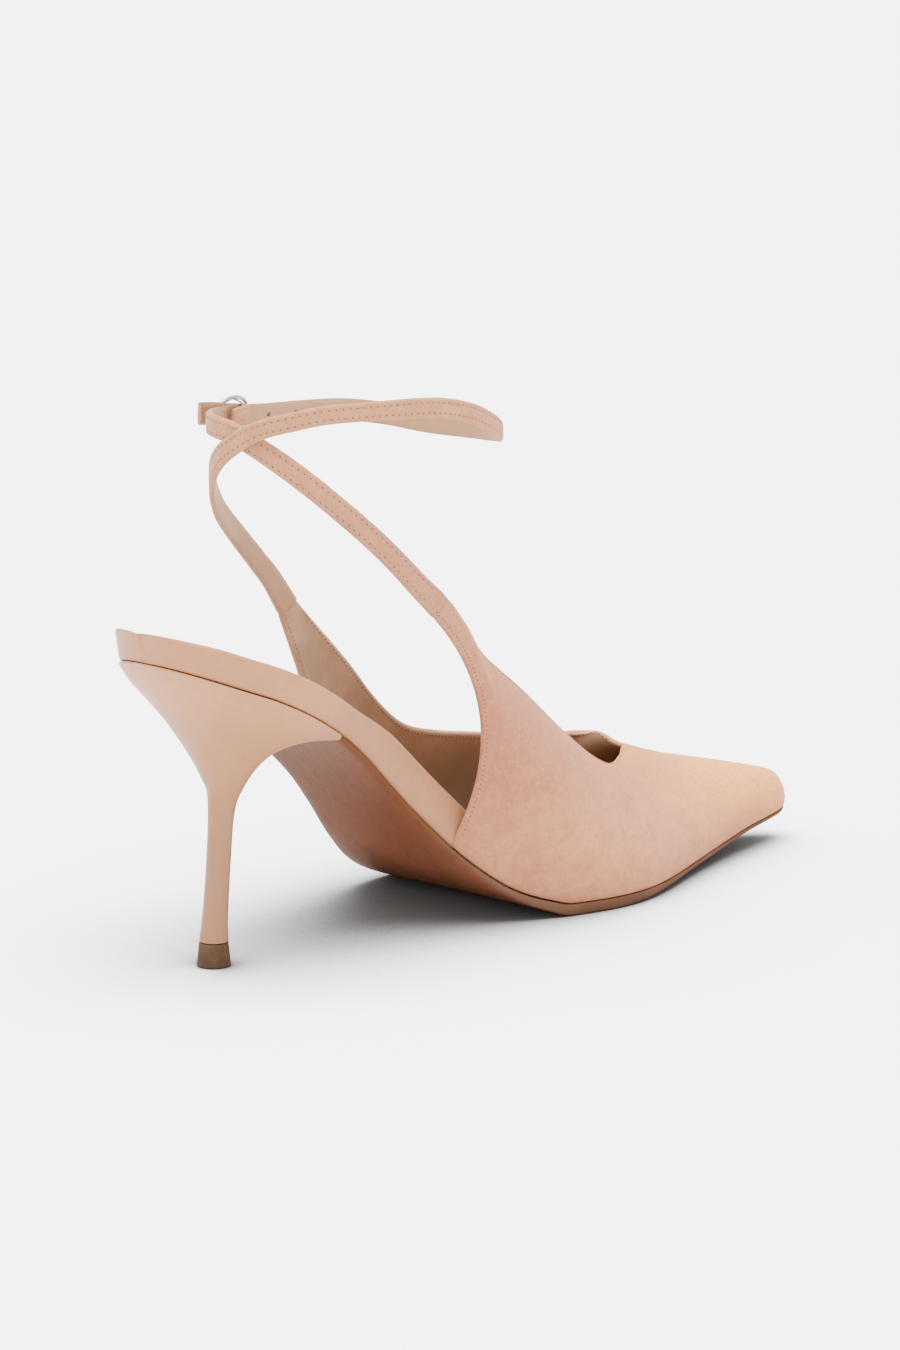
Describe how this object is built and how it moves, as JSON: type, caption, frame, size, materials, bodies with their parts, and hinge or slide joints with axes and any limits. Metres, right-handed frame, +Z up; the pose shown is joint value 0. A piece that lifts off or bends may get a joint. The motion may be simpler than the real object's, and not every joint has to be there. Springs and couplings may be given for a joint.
{
  "type": "ankle strap pump",
  "caption": "Pointed high-heeled pump for the left foot, with an open waist and heel and a slim strap that wraps round the ankle.",
  "frame": {"origin": "centre of the heel's top piece, on the floor", "axes": "+X towards the toe, +Y towards the outer side of the foot, +Z up from the floor"},
  "size_m": [0.2452, 0.0752, 0.149],
  "materials": {
    "outsole": "semi-gloss",
    "insole": "smooth, satin",
    "upper": "suede",
    "heel": "smooth, satin",
    "strap_buckle": "suede",
    "strap_wrap": "suede",
    "top_piece": "matte",
    "buckle": "polished",
    "prong": "polished"
  },
  "bodies": {
    "root": {"outsole": "outsole", "insole": "insole", "upper": "upper", "heel": "heel", "top_piece": "top_piece", "strap_buckle": "strap_buckle", "strap_wrap": "strap_wrap", "buckle": "buckle", "prong": "prong"}
  },
  "joints": []
}
